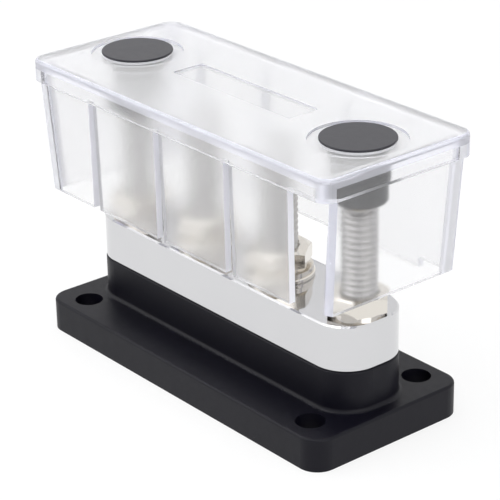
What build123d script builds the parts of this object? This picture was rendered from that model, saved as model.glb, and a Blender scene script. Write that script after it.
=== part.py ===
from build123d import *
import math
import os

os.makedirs("parts", exist_ok=True)

# Four-stud bus bar with a clear lift-off cover. Millimetres, +Z up.
# X runs along the bar, -Y is the cover's front with the snapped-off tab,
# and the origin is the centre of the base's underside.

# Stud row: metric bolts of size 10, heads down in the base
stud_count = 4
stud_pitch = 31.5
stud_diameter = 10.0
stud_length = 65.0
stud_tip_chamfer = 1.0
head_across_flats = 16.0
head_height = 6.4
head_recess = 1.1
head_pocket_clearance = 0.2
stud_hole_clearance = 0.25
thread_pitch = 1.75
thread_depth = 0.9
thread_crest = 0.35
thread_turns = 22

# Base moulding
plate_height = 9.65
plate_margin_x = 4.8
plate_margin_y = 14.2
plate_corner_radius = 6.0
plate_edge_radius = 0.8
mount_inset_x = 10.7
mount_inset_y = 7.7
mount_hole_diameter = 8.3
pedestal_height = 12.05
pedestal_margin = 0.15
pedestal_root_radius = 1.2
pedestal_edge_radius = 0.5

# Plated bar
bar_end_margin = 8.9
bar_width = 26.0
bar_thickness = 13.55
bar_corner_radius = 10.5
bar_edge_chamfer = 0.45

# Nuts and washers
nut_across_flats = 16.0
nut_height = 6.0
nut_face_height = 1.2
nut_face_diameter = 14.8
nut_corner_chamfer = 0.6
nut_chamfer_angle = 30.0
nut_bore_clearance = 0.05
nut_bore_chamfer = 0.5
nut_turns = (8.0, 22.0, 6.0, 17.0)
flat_washer_diameter = 19.4
flat_washer_thickness = 1.4
flat_washer_clearance = 0.25
flat_washer_edge = 0.3
spring_washer_diameter = 18.4
spring_washer_thickness = 1.5
spring_washer_clearance = 0.12
spring_washer_split = 1.0
spring_washer_lean = 22.0

# Cover: lip and top
cover_end_margin = 17.0
cover_width = 52.9
cover_headroom = 11.7
cover_corner_radius = 4.6
cover_edge_radius = 1.0
cover_top_thickness = 2.7
lip_height = 6.4
window_length = 50.4
window_width = 10.8
window_corner_radius = 1.6
window_depth = 0.45
window_offset_x = -0.8
window_offset_y = 1.6

# Cover: drafted walls, slits and tabs
lip_overhang_x = 2.25
lip_overhang_y = 1.5
wall_height = 33.6
wall_draft_x = 1.9
wall_draft_y = 1.4
wall_thickness = 2.0
wall_corner_radius = 1.6
rear_tab_drop = 2.6
slit_width_top = 2.3
slit_width_bottom = 3.1
slit_lean = 1.3
tab_pitch = 30.0
front_first_tab = 25.5
front_slit_count = 3
missing_tab_width = 13.9
rear_end_tab = 14.6
rear_middle_tab = 34.8
missing_corner_depth = 4.7
break_slant = 1.1

# Knobs that hold the cover to the end studs
knob_diameter = 20.7
knob_head_thickness = 0.7
knob_edge_radius = 0.25
knob_washer_diameter = 20.1
knob_washer_thickness = 0.75
knob_washer_clearance = 0.15
knob_recess_diameter = 26.8
knob_recess_depth = 0.8
knob_neck_diameter = 12.0
knob_neck_clearance = 0.08
sleeve_diameter = 15.0
sleeve_gap = 0.2
sleeve_overlap = 5.1
sleeve_lead_in = 0.6
sleeve_edge_radius = 0.6
insert_diameter = 12.8
insert_bore_clearance = 0.05
insert_tip_gap = 1.3

# Places that follow from the sizes above
stud_row = (stud_count - 1) * stud_pitch
stud_places = [index * stud_pitch - stud_row / 2 for index in range(stud_count)]
stud_numbers = range(1, stud_count + 1)
stud_radius = stud_diameter / 2
head_seat_z = head_recess + head_height
stud_top_z = head_seat_z + stud_length

bar_length = stud_row + 2 * bar_end_margin
bar_bottom_z = plate_height + pedestal_height
bar_top_z = bar_bottom_z + bar_thickness
plate_length = bar_length + 2 * plate_margin_x
plate_width = bar_width + 2 * plate_margin_y
mount_spacing_x = plate_length - 2 * mount_inset_x
mount_spacing_y = plate_width - 2 * mount_inset_y
washer_stack = flat_washer_thickness + spring_washer_thickness

cover_top_z = stud_top_z + cover_headroom
cover_inside_z = cover_top_z - cover_top_thickness
lip_bottom_z = cover_top_z - lip_height
wall_bottom_z = lip_bottom_z - wall_height
tab_bottom_z = wall_bottom_z - rear_tab_drop
cover_length = stud_row + 2 * cover_end_margin
wall_length = cover_length - 2 * lip_overhang_x
wall_width = cover_width - 2 * lip_overhang_y
wall_left_x = -wall_length / 2
wall_right_x = wall_length / 2
recess_floor_z = cover_top_z - knob_recess_depth
sleeve_bottom_z = stud_top_z - sleeve_overlap
sleeve_top_z = cover_inside_z - sleeve_gap
neck_bottom_z = stud_top_z + insert_tip_gap
insert_bottom_z = sleeve_bottom_z + sleeve_lead_in
knob_seat_z = recess_floor_z + knob_washer_thickness


def finish(part, name):
    """Label a finished piece and write it under its own name."""
    part.label = name
    export_step(part, f"parts/{name}.step")


def side_plane(x):
    """Upright plane through a stud's axis, with its own x along X and y along Z."""
    return Plane(origin=(x, 0, 0), x_dir=(1, 0, 0), z_dir=(0, -1, 0))


def stud_axis(x):
    return Axis((x, 0, 0), (0, 0, 1))


def hexagon_round_profile(across_flats, bottom_z, top_z, flat_radius, angle):
    """Half profile that rounds a hexagon's corners off towards its top face."""
    corner_radius = across_flats / math.sqrt(3)
    drop = (corner_radius - flat_radius) * math.tan(math.radians(angle))
    return [
        (0, bottom_z),
        (corner_radius, bottom_z),
        (corner_radius, top_z - drop),
        (flat_radius, top_z),
        (0, top_z),
    ]


# Base: plate with a raised pedestal, four mounting holes and four head pockets
with BuildPart() as base:
    with BuildSketch(Plane.XY):
        RectangleRounded(plate_length, plate_width, plate_corner_radius)
    extrude(amount=plate_height)
    fillet(base.faces().sort_by(Axis.Z)[-1].edges(), radius=plate_edge_radius)
    with BuildSketch(Plane.XY.offset(plate_height)):
        RectangleRounded(
            bar_length + 2 * pedestal_margin,
            bar_width + 2 * pedestal_margin,
            bar_corner_radius + pedestal_margin,
        )
    extrude(amount=pedestal_height)
    fillet(base.faces().sort_by(Axis.Z)[-1].edges(), radius=pedestal_edge_radius)
    plate_top = base.faces().filter_by(Plane.XY).sort_by(Axis.Z)[-2]
    fillet(plate_top.inner_wires()[0].edges(), radius=pedestal_root_radius)
    with GridLocations(mount_spacing_x, mount_spacing_y, 2, 2):
        Hole(radius=mount_hole_diameter / 2)
    with BuildSketch(Plane.XY):
        with Locations(*[(x, 0) for x in stud_places]):
            Circle(stud_radius + stud_hole_clearance)
    extrude(amount=bar_bottom_z, mode=Mode.SUBTRACT)
    with BuildSketch(Plane.XY):
        with Locations(*[(x, 0) for x in stud_places]):
            RegularPolygon(
                head_across_flats / 2 + head_pocket_clearance,
                6,
                major_radius=False,
            )
    extrude(amount=head_seat_z, mode=Mode.SUBTRACT)
finish(base.part, "base")

# Thick plated bar with round corners and a stud hole for each bolt
with BuildPart() as bus_bar:
    with BuildSketch(Plane.XY.offset(bar_bottom_z)):
        RectangleRounded(bar_length, bar_width, bar_corner_radius)
        with Locations(*[(x, 0) for x in stud_places]):
            Circle(stud_radius + stud_hole_clearance, mode=Mode.SUBTRACT)
    extrude(amount=bar_thickness)
    bar_top_face = bus_bar.faces().sort_by(Axis.Z)[-1]
    bar_bottom_face = bus_bar.faces().sort_by(Axis.Z)[0]
    chamfer(
        bar_top_face.outer_wire().edges() + bar_bottom_face.outer_wire().edges(),
        length=bar_edge_chamfer,
    )
finish(bus_bar.part, "bus_bar")


def stud_side():
    """Side of a stud's shank and thread, as radius and height, with one V groove a turn."""
    thread_top_z = stud_top_z - stud_tip_chamfer
    points = [(stud_radius, head_seat_z)]
    for turn in range(thread_turns, 0, -1):
        turn_z = thread_top_z - turn * thread_pitch
        points.append((stud_radius, turn_z))
        points.append((stud_radius - thread_depth, turn_z + (thread_pitch - thread_crest) / 2))
        points.append((stud_radius, turn_z + thread_pitch - thread_crest))
    points.append((stud_radius, thread_top_z))
    points.append((stud_radius - stud_tip_chamfer, stud_top_z))
    return points


def make_stud(name, x):
    """Hex-head bolt that stands up through base and bar."""
    with BuildPart() as stud:
        with BuildSketch(Plane((x, 0, head_recess))):
            RegularPolygon(head_across_flats / 2, 6, major_radius=False)
        extrude(amount=head_height)
        with BuildSketch(side_plane(x)):
            with BuildLine():
                Polyline(
                    (0, head_recess),
                    (head_across_flats / 2, head_recess),
                    (head_across_flats / 2 + head_height, head_seat_z),
                    (0, head_seat_z),
                    close=True,
                )
            make_face()
        revolve(axis=stud_axis(x), mode=Mode.INTERSECT)
        with BuildSketch(side_plane(x)):
            with BuildLine():
                Polyline((0, head_seat_z), *stud_side(), (0, stud_top_z), close=True)
            make_face()
        revolve(axis=stud_axis(x))
    finish(stud.part, name)


def make_nut(name, x, seat_z, turn):
    """Hex nut with a chamfered top and a round face under its corners."""
    hexagon_bottom_z = seat_z + nut_face_height
    nut_top_z = seat_z + nut_height
    with BuildPart() as nut:
        with BuildSketch(Plane((x, 0, hexagon_bottom_z))):
            RegularPolygon(nut_across_flats / 2, 6, major_radius=False, rotation=turn)
        extrude(amount=nut_height - nut_face_height)
        with BuildSketch(side_plane(x)):
            with BuildLine():
                Polyline(
                    *hexagon_round_profile(
                        nut_across_flats,
                        hexagon_bottom_z,
                        nut_top_z,
                        nut_across_flats / 2 - nut_corner_chamfer,
                        nut_chamfer_angle,
                    ),
                    close=True,
                )
            make_face()
        revolve(axis=stud_axis(x), mode=Mode.INTERSECT)
        with BuildSketch(Plane((x, 0, seat_z))):
            Circle(nut_face_diameter / 2)
        extrude(amount=nut_face_height)
        with BuildSketch(Plane((x, 0, seat_z))):
            Circle(stud_radius + nut_bore_clearance)
        extrude(amount=nut_height, mode=Mode.SUBTRACT)
        bore_edges = nut.edges().filter_by(GeomType.CIRCLE).group_by(SortBy.RADIUS)[0]
        chamfer(bore_edges, length=nut_bore_chamfer)
    finish(nut.part, name)


def make_flat_washer(name, x, seat_z):
    with BuildPart() as washer:
        with BuildSketch(Plane((x, 0, seat_z))):
            Circle(flat_washer_diameter / 2)
            Circle(stud_radius + flat_washer_clearance, mode=Mode.SUBTRACT)
        extrude(amount=flat_washer_thickness)
        rim_edges = washer.edges().filter_by(GeomType.CIRCLE).group_by(SortBy.RADIUS)[-1]
        chamfer(rim_edges, length=flat_washer_edge)
    finish(washer.part, name)


def make_spring_washer(name, x, seat_z):
    """Split ring, cut through once, on its -X side, by a leaning slot."""
    ring_middle = (spring_washer_diameter / 2 + stud_radius) / 2
    lean = math.radians(spring_washer_lean)
    slot_plane = Plane(
        origin=(x - ring_middle, 0, seat_z + spring_washer_thickness / 2),
        x_dir=(1, 0, 0),
        z_dir=(0, math.sin(lean), math.cos(lean)),
    )
    with BuildPart() as washer:
        with BuildSketch(Plane((x, 0, seat_z))):
            Circle(spring_washer_diameter / 2)
            Circle(stud_radius + spring_washer_clearance, mode=Mode.SUBTRACT)
        extrude(amount=spring_washer_thickness)
        with BuildSketch(slot_plane):
            Rectangle(stud_diameter, spring_washer_split)
        extrude(amount=spring_washer_thickness, both=True, mode=Mode.SUBTRACT)
    finish(washer.part, name)


end_studs = (stud_numbers[0], stud_numbers[-1])
for number, place, turn in zip(stud_numbers, stud_places, nut_turns):
    make_stud(f"stud_{number}", place)
    if number in end_studs:
        make_nut(f"nut_{number}", place, bar_top_z, turn)
    else:
        make_flat_washer(f"flat_washer_{number}", place, bar_top_z)
        make_spring_washer(f"spring_washer_{number}", place, bar_top_z + flat_washer_thickness)
        make_nut(f"nut_{number}", place, bar_top_z + washer_stack, turn)


def wall_outline(z, inset):
    """Outline of the drafted wall at a height, moved in by an inset."""
    share = (lip_bottom_z - z) / wall_height
    length = wall_length - 2 * wall_draft_x * share - 2 * inset
    width = wall_width - 2 * wall_draft_y * share - 2 * inset
    with BuildSketch(Plane.XY.offset(z)) as outline:
        RectangleRounded(length, width, wall_corner_radius)
    return outline.sketch


def slit_corners(x, lean):
    """Corners of a slit that widens, and leans towards -X, from the lip down."""
    return [
        (x - lean - slit_width_bottom / 2, tab_bottom_z),
        (x - lean + slit_width_bottom / 2, tab_bottom_z),
        (x + slit_width_top / 2, lip_bottom_z),
        (x - slit_width_top / 2, lip_bottom_z),
    ]


def break_wedge(z):
    """Corner cut away in front of the slanting broken edge of the end wall, at a height."""
    outer_x = wall_right_x - wall_draft_x * (lip_bottom_z - z) / wall_height
    inner_x = outer_x - wall_thickness
    beyond_x = outer_x + wall_thickness
    with BuildSketch(Plane.XY.offset(z)) as wedge:
        with BuildLine():
            Polyline(
                (inner_x, -break_inner_y),
                (beyond_x, -break_inner_y),
                (beyond_x, break_slant - break_y),
                close=True,
            )
        make_face()
    return wedge.sketch


front_slits = [wall_left_x + front_first_tab + index * tab_pitch for index in range(front_slit_count)]
rear_slits = [wall_left_x + rear_end_tab, -rear_middle_tab / 2, rear_middle_tab / 2]
rear_long_span = wall_length - 2 * rear_end_tab
break_x = wall_right_x - missing_tab_width
break_y = wall_width / 2 - missing_corner_depth
break_inner_y = break_y + break_slant
knob_places = (stud_places[0], stud_places[-1])

# Clear cover: one moulding of top, lip and tabbed walls
with BuildPart() as cover:
    loft([wall_outline(tab_bottom_z, 0), wall_outline(lip_bottom_z, 0)])
    with BuildSketch(Plane.XY.offset(lip_bottom_z)):
        RectangleRounded(cover_length, cover_width, cover_corner_radius)
    extrude(amount=lip_height)
    fillet(cover.faces().sort_by(Axis.Z)[-1].edges(), radius=cover_edge_radius)
    inner_bottom = wall_outline(tab_bottom_z, wall_thickness)
    inner_top = wall_outline(lip_bottom_z, wall_thickness)
    loft([inner_bottom, inner_top], mode=Mode.SUBTRACT)
    extrude(inner_top, amount=cover_inside_z - lip_bottom_z, mode=Mode.SUBTRACT)
    # Shorten every wall but the rear tabs
    with BuildSketch(Plane.XY.offset(tab_bottom_z)):
        Rectangle(cover_length, cover_width)
        with Locations((0, cover_width / 2)):
            Rectangle(rear_long_span, cover_width / 2, mode=Mode.SUBTRACT)
    extrude(amount=rear_tab_drop, mode=Mode.SUBTRACT)
    # Slits between the tabs of the front wall, then of the rear wall
    with BuildSketch(Plane.XZ):
        for slit_x in front_slits:
            with BuildLine():
                Polyline(*slit_corners(slit_x, slit_lean), close=True)
            make_face()
    extrude(amount=cover_width, mode=Mode.SUBTRACT)
    with BuildSketch(Plane.XZ):
        for slit_x in rear_slits:
            with BuildLine():
                Polyline(*slit_corners(slit_x, 0), close=True)
            make_face()
    extrude(amount=-cover_width, mode=Mode.SUBTRACT)
    # Opening where the last front tab has been snapped off, corner included
    with BuildSketch(Plane.XZ.offset(break_inner_y)):
        with BuildLine():
            Polyline(
                (break_x - slit_lean, tab_bottom_z),
                (cover_length, tab_bottom_z),
                (cover_length, lip_bottom_z),
                (break_x, lip_bottom_z),
                close=True,
            )
        make_face()
    extrude(amount=cover_width, mode=Mode.SUBTRACT)
    loft([break_wedge(tab_bottom_z), break_wedge(lip_bottom_z)], mode=Mode.SUBTRACT)
    # Round recess and neck hole for each knob
    with BuildSketch(Plane.XY.offset(recess_floor_z)):
        with Locations(*[(x, 0) for x in knob_places]):
            Circle(knob_recess_diameter / 2)
    extrude(amount=knob_recess_depth, mode=Mode.SUBTRACT)
    with BuildSketch(Plane.XY.offset(cover_inside_z)):
        with Locations(*[(x, 0) for x in knob_places]):
            Circle(knob_neck_diameter / 2 + knob_neck_clearance)
    extrude(amount=cover_top_thickness, mode=Mode.SUBTRACT)
    # Shallow polished window in the top
    with BuildSketch(Plane.XY.offset(cover_top_z - window_depth)):
        with Locations((window_offset_x, window_offset_y)):
            RectangleRounded(window_length, window_width, window_corner_radius)
    extrude(amount=window_depth, mode=Mode.SUBTRACT)
finish(cover.part, "cover")


def make_knob(number, x):
    """Head with its neck, the washer under it, the sleeve pressed on the neck, and the insert."""
    head_top_z = knob_seat_z + knob_head_thickness
    with BuildPart() as knob_head:
        with BuildSketch(Plane((x, 0, knob_seat_z))):
            Circle(knob_diameter / 2)
        extrude(amount=knob_head_thickness)
        rim_edges = knob_head.edges().filter_by(GeomType.CIRCLE)
        fillet(rim_edges, radius=knob_edge_radius)
        with BuildSketch(Plane((x, 0, neck_bottom_z))):
            Circle(knob_neck_diameter / 2)
        extrude(amount=head_top_z - knob_edge_radius - neck_bottom_z)
    finish(knob_head.part, f"knob_head_{number}")

    with BuildPart() as knob_washer:
        with BuildSketch(Plane((x, 0, recess_floor_z))):
            Circle(knob_washer_diameter / 2)
            Circle(knob_neck_diameter / 2 + knob_washer_clearance, mode=Mode.SUBTRACT)
        extrude(amount=knob_washer_thickness)
    finish(knob_washer.part, f"knob_washer_{number}")

    with BuildPart() as knob_sleeve:
        with BuildSketch(Plane((x, 0, sleeve_bottom_z))):
            Circle(sleeve_diameter / 2)
        extrude(amount=sleeve_top_z - sleeve_bottom_z)
        fillet(knob_sleeve.faces().sort_by(Axis.Z)[0].edges(), radius=sleeve_edge_radius)
        with BuildSketch(Plane((x, 0, sleeve_bottom_z))):
            Circle(insert_diameter / 2)
        extrude(amount=neck_bottom_z - sleeve_bottom_z, mode=Mode.SUBTRACT)
        with BuildSketch(Plane((x, 0, neck_bottom_z))):
            Circle(knob_neck_diameter / 2)
        extrude(amount=sleeve_top_z - neck_bottom_z, mode=Mode.SUBTRACT)
    finish(knob_sleeve.part, f"knob_sleeve_{number}")

    with BuildPart() as knob_insert:
        with BuildSketch(Plane((x, 0, insert_bottom_z))):
            Circle(insert_diameter / 2)
            Circle(stud_radius + insert_bore_clearance, mode=Mode.SUBTRACT)
        extrude(amount=neck_bottom_z - insert_bottom_z)
    finish(knob_insert.part, f"knob_insert_{number}")


for number, place in zip(end_studs, knob_places):
    make_knob(number, place)
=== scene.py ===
import math

import bmesh
import bpy
from mathutils import Matrix, Vector


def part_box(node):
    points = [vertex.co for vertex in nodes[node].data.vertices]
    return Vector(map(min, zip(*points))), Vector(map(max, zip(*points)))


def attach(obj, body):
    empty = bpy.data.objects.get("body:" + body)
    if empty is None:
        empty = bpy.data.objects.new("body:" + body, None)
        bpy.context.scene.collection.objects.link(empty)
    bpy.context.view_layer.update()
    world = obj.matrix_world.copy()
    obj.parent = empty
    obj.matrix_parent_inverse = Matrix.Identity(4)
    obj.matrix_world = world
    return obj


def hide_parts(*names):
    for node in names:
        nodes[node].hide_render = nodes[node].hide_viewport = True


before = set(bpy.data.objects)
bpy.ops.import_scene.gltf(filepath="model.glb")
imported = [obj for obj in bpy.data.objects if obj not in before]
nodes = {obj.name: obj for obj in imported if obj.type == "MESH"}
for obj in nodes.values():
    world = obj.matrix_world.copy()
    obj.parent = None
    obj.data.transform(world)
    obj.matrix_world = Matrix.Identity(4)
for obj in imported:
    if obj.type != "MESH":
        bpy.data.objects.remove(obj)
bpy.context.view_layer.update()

scene = bpy.context.scene

# All lengths are in metres, in the frame's axes:
# X along the bar, -Y the front with the opening, +Z up.

# Stud thread
THREAD_PITCH = 0.00175
THREAD_CREST_RADIUS = 0.005
THREAD_DEPTH = 0.0009
THREAD_TURNS = 22
THREAD_STEPS = 64
CREST_ROUNDING = 0.00006
ROOT_ROUNDING = 0.00005
STUD_TIP_CHAMFER = 0.001

# Bolt head under the base: the rise of its rounded lower corners, and the share of the
# flats' half width that the flat lower face reaches
HEAD_HEIGHT = 0.0064
HEAD_SIDES = 6
HEAD_CORNER_RISE = 0.0007
HEAD_FACE_SHARE = 0.93

# Vertices nearer than this are joined, and edges turn sharp above this angle
MERGE_DISTANCE = 1e-6
SHARP_ANGLE = math.radians(50)

# Places on the cover that differ in finish
COVER_WINDOW_MIDDLE = (-0.0008, 0.0016)
COVER_WINDOW_HALF = (0.0252, 0.0054)
COVER_TOP_INSIDE_Z = 0.0815
COVER_TOP_OUTSIDE_ABOVE_Z = COVER_TOP_INSIDE_Z + 0.001
COVER_RECESS_ABOVE_Z = COVER_TOP_INSIDE_Z + 0.0015
COVER_LIP_BOTTOM_Z = 0.0778
COVER_END_INSIDE_X = 0.055
COVER_SIDE_INSIDE_Y = 0.0208
COVER_LIP_OUTSIDE_X = 0.0635
COVER_LIP_OUTSIDE_Y = 0.0257

# Walls' corners at the lip, in X and Y, and how far they draw in per metre below it
COVER_CORNER_POST = (0.0583, 0.0200)
COVER_DRAFT = (0.057, 0.042)

# Slack at the planes that bound a place
PLANE_SLACK = 0.0001

# Limits on the parts of a face's normal: a face faces an axis, counts as rounded
# when no axis has this much, or slopes when Z has this much
FACES_AXIS = 0.9
ROUNDED_BELOW = 0.985
SLOPES_ABOVE = 0.2

# How strongly painted highlight brightens the cover's edges, from 0 (clear) to 1: a milky, pale
# blue share painted on cut faces, rims, corners and recess sides
CUT_PAINTED_LIGHT = 0.85
RIM_PAINTED_LIGHT = 0.45
LIP_CORNER_PAINTED_LIGHT = 0.35
TOP_SIDE_PAINTED_LIGHT = 0.35
WALL_CORNER_PAINTED_LIGHT = 0.55
RECESS_PAINTED_LIGHT = 0.5

# How clear the cover's faces are, from 0 (milky) to 1
WALL_CLEAR = (0.90, 0.92)
END_CLEAR = 0.945
REAR_CLEAR = 0.97
TOP_CLEAR = 0.74
WINDOW_CLEAR = 0.93
# EDGE_CLEAR is for the edges that carry the painted highlight
EDGE_CLEAR = 0.12

# Roughness of the cover's faces
WALL_FROST = (0.22, 0.25)
TOP_FROST = (0.27, 0.32)
END_FROST = 0.15
WINDOW_FROST = 0.18
EDGE_FROST = 0.30

# The cover's plastic: index of refraction, colours, and absorption per metre; the edge and rim
# tints are painted highlight, the body tint is the plastic's own
COVER_IOR = 1.33
COLOURLESS = (1.0, 1.0, 1.0)
EDGE_PAINTED_TINT = (0.94, 0.94, 1.0)
RIM_PAINTED_TINT = (0.78, 0.79, 0.93)
BODY_TINT = (0.82, 0.82, 1.0, 1.0)
BODY_ABSORPTION = 18.0

# Noise: scales per metre for clouds in the colour, patches of gloss and the surface's
# grain, then how many finer layers it has and how strong these are
MOULDING_CLOUDS = 90.0
MOULDING_GLOSS = 420.0
MOULDING_GRAIN = 2600.0
PLATING_CLOUDS = 70.0
PLATING_GLOSS = 900.0
COVER_FROST_SCALE = 700.0
COVER_MILK_SCALE = 500.0
NOISE_DETAIL = 3.0
GRAIN_DETAIL = 2.0
WAVE_DETAIL = 1.0
NOISE_ROUGHNESS = 0.55

# Floor and backdrop
FLOOR_HALF = 3.0
FLOOR_GREY = (0.92, 0.92, 0.92, 1.0)
FLOOR_GLOW_SHARE = 0.8
WHITE = (1.0, 1.0, 1.0, 1.0)
FILL_COLOUR = (0.98, 0.99, 1.0, 1.0)
FILL_STRENGTH = 0.8

# Camera, solved from the photo: it looks at the target from the distance
CAMERA_AZIMUTH = math.radians(50.62)
CAMERA_ELEVATION = math.radians(24.21)
CAMERA_ROLL = math.radians(-1.05)
CAMERA_TARGET = (0.00240, 0.00008, 0.03757)
CAMERA_DISTANCE = 0.58575
CAMERA_LENS_MM = 149.417
CAMERA_SENSOR_MM = 36.0
CAMERA_CLIP = (0.01, 50.0)


class Graph:
    """Short-hand for building one material's node tree."""

    def __init__(self, name):
        self.material = bpy.data.materials.new(name)
        self.material.use_nodes = True
        self.tree = self.material.node_tree
        self.shader = self.tree.nodes["Principled BSDF"]
        self.output = self.tree.nodes["Material Output"]

    def add(self, kind, **values):
        node = self.tree.nodes.new(kind)
        for key, value in values.items():
            setattr(node, key, value)
        return node

    def link(self, start, end):
        self.tree.links.new(start, end)

    def feed(self, value, socket):
        """Put a number into the socket, or link an output to it."""
        if isinstance(value, (int, float)):
            socket.default_value = value
        else:
            self.link(value, socket)

    def coordinate(self, kind):
        return self.add("ShaderNodeTexCoord").outputs[kind]

    def parts(self, vector):
        """The X, Y and Z of a vector."""
        node = self.add("ShaderNodeSeparateXYZ")
        self.link(vector, node.inputs[0])
        return [node.outputs[axis] for axis in "XYZ"]

    def math(self, operation, *values):
        node = self.add("ShaderNodeMath", operation=operation)
        for slot, value in enumerate(values):
            self.feed(value, node.inputs[slot])
        return node.outputs[0]

    def magnitude(self, value):
        return self.math("ABSOLUTE", value)

    def above(self, value, limit):
        return self.math("GREATER_THAN", value, limit)

    def below(self, value, limit):
        return self.math("LESS_THAN", value, limit)

    def both(self, first, *others):
        """Product: of masks, the place where all of them hold."""
        for other in others:
            first = self.math("MULTIPLY", first, other)
        return first

    def either(self, first, *others):
        """Largest: of masks, the place where one of them holds."""
        for other in others:
            first = self.math("MAXIMUM", first, other)
        return first

    def noise(self, scale, detail=NOISE_DETAIL):
        node = self.add("ShaderNodeTexNoise")
        node.inputs["Scale"].default_value = scale
        node.inputs["Detail"].default_value = detail
        node.inputs["Roughness"].default_value = NOISE_ROUGHNESS
        self.link(self.coordinate("Object"), node.inputs["Vector"])
        return node.outputs["Fac"]

    def spread(self, factor, low, high):
        node = self.add("ShaderNodeMapRange")
        node.inputs["To Min"].default_value = low
        node.inputs["To Max"].default_value = high
        self.link(factor, node.inputs["Value"])
        return node.outputs["Result"]

    def colours(self, factor, start, end):
        node = self.add("ShaderNodeMix", data_type="RGBA")
        node.inputs["A"].default_value = (*start, 1.0)
        node.inputs["B"].default_value = (*end, 1.0)
        self.link(factor, node.inputs["Factor"])
        return node.outputs["Result"]

    def blend(self, factor, start, end):
        node = self.add("ShaderNodeMix", data_type="FLOAT")
        self.link(factor, node.inputs["Factor"])
        self.feed(start, node.inputs["A"])
        self.feed(end, node.inputs["B"])
        return node.outputs["Result"]

    def bump(self, height, distance):
        node = self.add("ShaderNodeBump")
        node.inputs["Strength"].default_value = 1.0
        node.inputs["Distance"].default_value = distance
        self.link(height, node.inputs["Height"])
        self.link(node.outputs["Normal"], self.shader.inputs["Normal"])


def moulding(name, dark, light, roughness, grain_depth, ior=1.5):
    """Moulded plastic with a fine grain."""
    g = Graph(name)
    g.shader.inputs["IOR"].default_value = ior
    g.link(g.colours(g.noise(MOULDING_CLOUDS), dark, light), g.shader.inputs["Base Color"])
    g.link(g.spread(g.noise(MOULDING_GLOSS), *roughness), g.shader.inputs["Roughness"])
    g.bump(g.noise(MOULDING_GRAIN, GRAIN_DETAIL), grain_depth)
    return g.material


def plated(name, dark, light, roughness, wave_depth, wave_scale):
    """Plated or bare metal with faint waves."""
    g = Graph(name)
    g.shader.inputs["Metallic"].default_value = 1.0
    g.link(g.colours(g.noise(PLATING_CLOUDS), dark, light), g.shader.inputs["Base Color"])
    g.link(g.spread(g.noise(PLATING_GLOSS), *roughness), g.shader.inputs["Roughness"])
    g.bump(g.noise(wave_scale, WAVE_DETAIL), wave_depth)
    return g.material


base_material = moulding(
    "black_satin",
    dark=(0.0012, 0.0010, 0.0046),
    light=(0.0024, 0.0021, 0.0064),
    roughness=(0.36, 0.50),
    grain_depth=0.00003,
    ior=1.305,
)
knob_material = moulding(
    "knob_satin",
    dark=(0.012, 0.0115, 0.018),
    light=(0.016, 0.0155, 0.023),
    roughness=(0.34, 0.42),
    grain_depth=0.000015,
)
sleeve_material = moulding(
    "sleeve_black",
    dark=(0.012, 0.012, 0.014),
    light=(0.018, 0.018, 0.020),
    roughness=(0.40, 0.50),
    grain_depth=0.00002,
)
bar_material = plated(
    "plated_bar",
    dark=(0.64, 0.64, 0.655),
    light=(0.67, 0.67, 0.68),
    roughness=(0.045, 0.075),
    wave_depth=0.00001,
    wave_scale=160.0,
)
thread_material = plated(
    "steel_thread",
    dark=(0.44, 0.43, 0.42),
    light=(0.50, 0.49, 0.48),
    roughness=(0.20, 0.30),
    wave_depth=0.00001,
    wave_scale=600.0,
)
nickel_material = plated(
    "nickel_plate",
    dark=(0.70, 0.66, 0.60),
    light=(0.78, 0.75, 0.70),
    roughness=(0.10, 0.17),
    wave_depth=0.00002,
    wave_scale=400.0,
)
# Washer under each knob head: its white colour paints the bright highlight ring seen beneath the
# disc
painted_highlight_washer_material = moulding(
    "washer_white",
    dark=(0.78, 0.78, 0.80),
    light=(0.84, 0.84, 0.86),
    roughness=(0.35, 0.45),
    grain_depth=0.00001,
)
brass_material = plated(
    "insert_brass",
    dark=(0.62, 0.47, 0.24),
    light=(0.72, 0.56, 0.30),
    roughness=(0.20, 0.30),
    wave_depth=0.00001,
    wave_scale=600.0,
)


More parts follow.
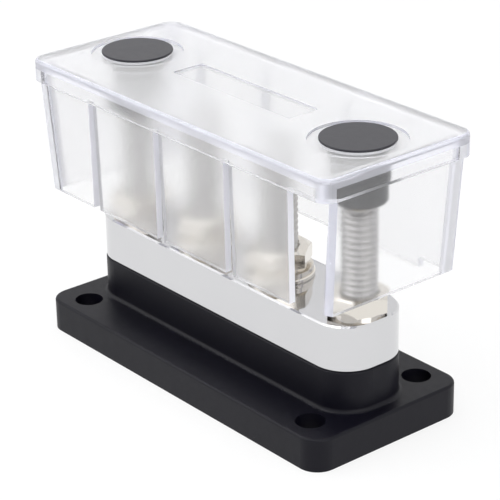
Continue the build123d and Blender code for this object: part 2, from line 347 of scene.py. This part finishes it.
def cover_masks(g):
    """Masks, 1 inside and 0 outside, for the parts of the cover that differ in finish."""
    x, y, z = g.parts(g.coordinate("Object"))
    far_x, far_y = g.magnitude(x), g.magnitude(y)
    normal = g.parts(g.coordinate("Normal"))
    facing_up = normal[2]
    along, across, upright = (g.magnitude(part) for part in normal)

    def near(value, middle, half):
        return g.below(g.magnitude(g.math("SUBTRACT", value, middle)), half)

    def past_drafted_wall(far, axis):
        drawn_in = g.math("MULTIPLY", g.math("SUBTRACT", COVER_LIP_BOTTOM_Z, z), COVER_DRAFT[axis])
        return g.above(far, g.math("SUBTRACT", COVER_CORNER_POST[axis], drawn_in))

    masks = {}
    at_top = g.above(z, COVER_TOP_INSIDE_Z - PLANE_SLACK)
    masks["window"] = g.both(
        near(x, COVER_WINDOW_MIDDLE[0], COVER_WINDOW_HALF[0]),
        near(y, COVER_WINDOW_MIDDLE[1], COVER_WINDOW_HALF[1]),
        at_top,
    )
    masks["flat_top"] = g.both(g.above(upright, FACES_AXIS), at_top)
    masks["outer_top"] = g.both(
        g.above(facing_up, FACES_AXIS),
        g.above(z, COVER_TOP_OUTSIDE_ABOVE_Z),
    )
    masks["end_wall"] = g.both(g.above(along, FACES_AXIS), g.above(far_x, COVER_END_INSIDE_X))
    masks["rear"] = g.above(y, COVER_SIDE_INSIDE_Y)

    # Cut faces: the slits' sides, the broken edges and the walls' undersides
    slit_side = g.both(g.above(along, FACES_AXIS), g.below(far_x, COVER_END_INSIDE_X))
    broken_side = g.both(g.above(across, FACES_AXIS), g.below(far_y, COVER_SIDE_INSIDE_Y))
    below_lip = g.below(z, COVER_LIP_BOTTOM_Z - PLANE_SLACK)
    underside = g.both(
        g.below(facing_up, -FACES_AXIS),
        g.below(z, COVER_LIP_BOTTOM_Z + PLANE_SLACK),
    )
    masks["cut"] = g.either(g.both(below_lip, g.either(slit_side, broken_side)), underside)

    # Roundings, and the lip's sides
    masks["rounded"] = g.below(g.either(along, across, upright), ROUNDED_BELOW)
    masks["at_lip"] = g.above(z, COVER_LIP_BOTTOM_Z - PLANE_SLACK)
    masks["sloping"] = g.above(upright, SLOPES_ABOVE)
    outside = g.either(g.above(far_x, COVER_LIP_OUTSIDE_X), g.above(far_y, COVER_LIP_OUTSIDE_Y))
    masks["top_side"] = g.both(
        outside,
        g.above(z, COVER_TOP_INSIDE_Z),
        g.below(upright, SLOPES_ABOVE),
    )

    # Solid corners where two walls meet, but not the corner that is snapped off
    masks["corner_post"] = g.both(
        past_drafted_wall(far_x, 0),
        past_drafted_wall(far_y, 1),
        g.below(upright, FACES_AXIS),
        g.below(z, COVER_TOP_INSIDE_Z),
        g.either(g.below(x, 0.0), g.above(y, 0.0)),
    )

    # Sides of the knobs' recesses and of the window
    masks["recess_side"] = g.both(
        g.math("SUBTRACT", 1.0, outside),
        g.above(z, COVER_RECESS_ABOVE_Z),
        g.below(upright, FACES_AXIS),
    )
    return masks


def clear_cover_material():
    """Clear plastic: frosted flats, polished window, and cut edges and rims made milky and pale
    blue as painted highlights.
    """
    g = Graph("clear_frosted")
    g.shader.inputs["IOR"].default_value = COVER_IOR
    masks = cover_masks(g)

    # Painted highlight: cut faces, rims, corner posts and recess sides turn milky and pale blue so
    # they show as bright bands; edge below is the whole painted highlight mask
    lip_painted_light = g.blend(masks["sloping"], LIP_CORNER_PAINTED_LIGHT, RIM_PAINTED_LIGHT)
    round_painted_light = g.both(masks["rounded"], g.blend(masks["at_lip"], WALL_CORNER_PAINTED_LIGHT, lip_painted_light))
    painted_rim_light = g.either(round_painted_light, g.both(masks["top_side"], TOP_SIDE_PAINTED_LIGHT))
    edge = g.either(
        g.both(masks["cut"], CUT_PAINTED_LIGHT),
        painted_rim_light,
        g.both(masks["corner_post"], WALL_CORNER_PAINTED_LIGHT),
        g.both(masks["recess_side"], RECESS_PAINTED_LIGHT),
    )

    frost = g.spread(g.noise(COVER_FROST_SCALE), *WALL_FROST)
    frost = g.blend(masks["end_wall"], frost, END_FROST)
    frost = g.blend(masks["flat_top"], frost, g.spread(g.noise(COVER_FROST_SCALE), *TOP_FROST))
    frost = g.blend(masks["window"], frost, WINDOW_FROST)
    frost = g.blend(edge, frost, EDGE_FROST)
    g.link(frost, g.shader.inputs["Roughness"])

    clear = g.spread(g.noise(COVER_MILK_SCALE), *WALL_CLEAR)
    clear = g.blend(masks["rear"], clear, REAR_CLEAR)
    clear = g.blend(masks["outer_top"], clear, TOP_CLEAR)
    clear = g.blend(masks["window"], clear, WINDOW_CLEAR)
    clear = g.blend(masks["end_wall"], clear, END_CLEAR)
    clear = g.blend(edge, clear, EDGE_CLEAR)
    g.link(clear, g.shader.inputs["Transmission Weight"])

    # Base colour: the pale blue painted highlight on the edges and rims
    product = g.add("ShaderNodeMix", data_type="RGBA", blend_type="MULTIPLY")
    product.inputs["Factor"].default_value = 1.0
    g.link(g.colours(edge, COLOURLESS, EDGE_PAINTED_TINT), product.inputs["A"])
    g.link(g.colours(painted_rim_light, COLOURLESS, RIM_PAINTED_TINT), product.inputs["B"])
    g.link(product.outputs["Result"], g.shader.inputs["Base Color"])

    body = g.add("ShaderNodeVolumeAbsorption")
    body.inputs["Color"].default_value = BODY_TINT
    body.inputs["Density"].default_value = BODY_ABSORPTION
    g.link(body.outputs["Volume"], g.output.inputs["Volume"])
    return g.material


# Which material a node takes, by the start of its name
materials = {
    "base": base_material,
    "bus_bar": bar_material,
    "cover": clear_cover_material(),
    "nut_": nickel_material,
    "flat_washer": nickel_material,
    "spring_washer": nickel_material,
    "knob_washer": painted_highlight_washer_material,
    "knob_head": knob_material,
    "knob_sleeve": sleeve_material,
    "knob_insert": brass_material,
    "stud_": thread_material,
}


def dress(node, material):
    """Give every material slot of a node the one material."""
    slots = node.data.materials
    if len(slots) == 0:
        slots.append(material)
    for index in range(len(slots)):
        slots[index] = material


for name, node in nodes.items():
    for start, material in materials.items():
        if name.startswith(start):
            dress(node, material)


def thread_profile():
    """(share of the pitch, radius) of one turn, from crest to crest."""
    crest = THREAD_CREST_RADIUS
    root = crest - THREAD_DEPTH
    return [
        (0.00, crest),
        (0.07, crest - CREST_ROUNDING),
        (0.40, root + ROOT_ROUNDING),
        (0.45, root),
        (0.52, root + ROOT_ROUNDING),
        (0.84, crest - CREST_ROUNDING),
        (0.90, crest),
    ]


def add_thread(bm, x, y, seat_z, tip_z):
    """Shank from the head's seat to the tip, its upper part threaded."""
    shank_z = tip_z - STUD_TIP_CHAMFER - THREAD_TURNS * THREAD_PITCH
    profile = thread_profile()
    columns = []
    for step in range(THREAD_STEPS + 1):
        angle = 2 * math.pi * step / THREAD_STEPS
        along, across = math.cos(angle), math.sin(angle)
        # From the seat, then up the thread
        points = [(THREAD_CREST_RADIUS, seat_z)]
        for turn in range(-1, THREAD_TURNS + 2):
            for share, radius in profile:
                z = shank_z + (turn + share + step / THREAD_STEPS) * THREAD_PITCH
                z = min(max(z, shank_z), tip_z)
                # The thread runs out over its first turn, and the tip is chamfered
                fade = (z - shank_z) / THREAD_PITCH
                radius = max(radius, THREAD_CREST_RADIUS - THREAD_DEPTH * fade)
                radius = min(radius, THREAD_CREST_RADIUS - STUD_TIP_CHAMFER + (tip_z - z))
                points.append((radius, z))
        column = []
        for radius, z in points:
            column.append(bm.verts.new((x + radius * along, y + radius * across, z)))
        columns.append(column)
    for left, right in zip(columns, columns[1:]):
        for index in range(len(left) - 1):
            bm.faces.new((left[index], right[index], right[index + 1], left[index + 1]))
    bmesh.ops.remove_doubles(bm, verts=bm.verts, dist=MERGE_DISTANCE)
    bmesh.ops.dissolve_degenerate(bm, edges=bm.edges, dist=MERGE_DISTANCE)
    open_edges = [edge for edge in bm.edges if edge.is_boundary]
    bmesh.ops.holes_fill(bm, edges=open_edges, sides=0)


def add_head(bm, x, y, bottom_z, seat_z, flats):
    """Hexagonal head with its lower corners rounded off; flats is half its width."""
    corner = flats / math.cos(math.pi / HEAD_SIDES)
    rings = []
    for z, size in (
        (bottom_z, flats * HEAD_FACE_SHARE),
        (bottom_z + HEAD_CORNER_RISE, corner),
        (seat_z, corner),
    ):
        ring = []
        for side in range(HEAD_SIDES):
            angle = 2 * math.pi * side / HEAD_SIDES
            ring.append(bm.verts.new((x + size * math.cos(angle), y + size * math.sin(angle), z)))
        rings.append(ring)
    for lower, upper in zip(rings, rings[1:]):
        for side in range(HEAD_SIDES):
            after = (side + 1) % HEAD_SIDES
            bm.faces.new((lower[side], lower[after], upper[after], upper[side]))
    bm.faces.new(list(reversed(rings[0])))
    bm.faces.new(rings[-1])


def make_threaded_stud(name):
    """Bolt with its hex head, a plain shank and a helical thread on the upper part."""
    low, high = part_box(name)
    x = (low[0] + high[0]) / 2
    y = (low[1] + high[1]) / 2
    seat_z = low[2] + HEAD_HEIGHT
    bm = bmesh.new()
    add_thread(bm, x, y, seat_z, high[2])
    add_head(bm, x, y, low[2], seat_z, (high[1] - low[1]) / 2)
    bmesh.ops.recalc_face_normals(bm, faces=bm.faces)
    mesh = bpy.data.meshes.new(f"{name}_threaded")
    bm.to_mesh(mesh)
    bm.free()
    piece = bpy.data.objects.new(f"{name}_threaded", mesh)
    scene.collection.objects.link(piece)
    mesh.materials.append(thread_material)
    mesh.shade_smooth()
    mesh.set_sharp_from_angle(angle=SHARP_ANGLE)
    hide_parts(name)
    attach(piece, "base")


for number in range(1, 5):
    make_threaded_stud(f"stud_{number}")


def seen_directly(tree):
    """1 for camera, glossy and transmission rays, 0 for diffuse light."""
    path = tree.nodes.new("ShaderNodeLightPath")
    total = path.outputs["Is Camera Ray"]
    for name in ("Is Glossy Ray", "Is Transmission Ray"):
        node = tree.nodes.new("ShaderNodeMath")
        node.operation = "MAXIMUM"
        tree.links.new(total, node.inputs[0])
        tree.links.new(path.outputs[name], node.inputs[1])
        total = node.outputs[0]
    return total


def add_shader(tree, kind, colour, strength=None):
    node = tree.nodes.new(kind)
    node.inputs["Color"].default_value = colour
    if strength is not None:
        node.inputs["Strength"].default_value = strength
    return node


def mix_shaders(tree, factor, start, end, surface):
    mix = tree.nodes.new("ShaderNodeMixShader")
    tree.links.new(factor, mix.inputs["Fac"])
    tree.links.new(start.outputs[0], mix.inputs[1])
    tree.links.new(end.outputs[0], mix.inputs[2])
    tree.links.new(mix.outputs[0], surface)


def make_floor():
    """White paper that lights the part as a grey floor, and looks white itself."""
    size = FLOOR_HALF
    corners = [(-size, -size, 0), (size, -size, 0), (size, size, 0), (-size, size, 0)]
    mesh = bpy.data.meshes.new("floor")
    mesh.from_pydata(corners, [], [(0, 1, 2, 3)])
    floor = bpy.data.objects.new("floor", mesh)
    scene.collection.objects.link(floor)
    material = bpy.data.materials.new("floor_paper")
    material.use_nodes = True
    tree = material.node_tree
    tree.nodes.clear()
    output = tree.nodes.new("ShaderNodeOutputMaterial")
    paper = add_shader(tree, "ShaderNodeBsdfDiffuse", FLOOR_GREY)
    glow = add_shader(tree, "ShaderNodeEmission", WHITE, 1.0)
    share = tree.nodes.new("ShaderNodeMath")
    share.operation = "MULTIPLY"
    share.inputs[1].default_value = FLOOR_GLOW_SHARE
    tree.links.new(seen_directly(tree), share.inputs[0])
    mix_shaders(tree, share.outputs[0], paper, glow, output.inputs["Surface"])
    mesh.materials.append(material)


def make_world():
    """White backdrop that lights the part a little less than it shows."""
    world = bpy.data.worlds.new("studio")
    scene.world = world
    world.use_nodes = True
    tree = world.node_tree
    tree.nodes.clear()
    output = tree.nodes.new("ShaderNodeOutputWorld")
    shown = add_shader(tree, "ShaderNodeBackground", WHITE, 1.0)
    fill = add_shader(tree, "ShaderNodeBackground", FILL_COLOUR, FILL_STRENGTH)
    mix_shaders(tree, seen_directly(tree), fill, shown, output.inputs["Surface"])


def make_lamp(name, place, aim, size, power):
    """Rectangular lamp at place, turned to aim; power is in watts."""
    data = bpy.data.lights.new(name, "AREA")
    data.shape = "RECTANGLE"
    data.size, data.size_y = size
    data.energy = power
    lamp = bpy.data.objects.new(name, data)
    scene.collection.objects.link(lamp)
    lamp.location = place
    lamp.rotation_euler = (Vector(aim) - Vector(place)).to_track_quat("-Z", "Y").to_euler()


def make_camera():
    """Camera at the photo's place; back points from the target to it."""
    around_x, around_y = math.sin(CAMERA_AZIMUTH), -math.cos(CAMERA_AZIMUTH)
    flat = math.cos(CAMERA_ELEVATION)
    back = Vector((around_x * flat, around_y * flat, math.sin(CAMERA_ELEVATION)))
    level = Vector((-around_y, around_x, 0.0))
    upright = back.cross(level)
    right = math.cos(CAMERA_ROLL) * level + math.sin(CAMERA_ROLL) * upright
    up = -math.sin(CAMERA_ROLL) * level + math.cos(CAMERA_ROLL) * upright
    data = bpy.data.cameras.new("camera")
    data.lens = CAMERA_LENS_MM
    data.sensor_width = CAMERA_SENSOR_MM
    data.clip_start, data.clip_end = CAMERA_CLIP
    camera = bpy.data.objects.new("camera", data)
    scene.collection.objects.link(camera)
    place = Matrix.Translation(Vector(CAMERA_TARGET) + back * CAMERA_DISTANCE)
    camera.matrix_world = place @ Matrix((right, up, back)).transposed().to_4x4()
    scene.camera = camera


make_floor()
make_world()
make_lamp("key_top", place=(-0.15, -0.15, 0.75), aim=(0, 0, 0.03), size=(0.8, 0.8), power=3.3)
make_lamp("left_soft", place=(-0.55, -0.60, 0.40), aim=(0, 0, 0.04), size=(0.6, 0.6), power=1.4)
make_lamp("right_soft", place=(0.70, -0.05, 0.35), aim=(0, 0, 0.04), size=(0.5, 0.5), power=1.1)
make_camera()
scene.view_settings.view_transform = "Standard"
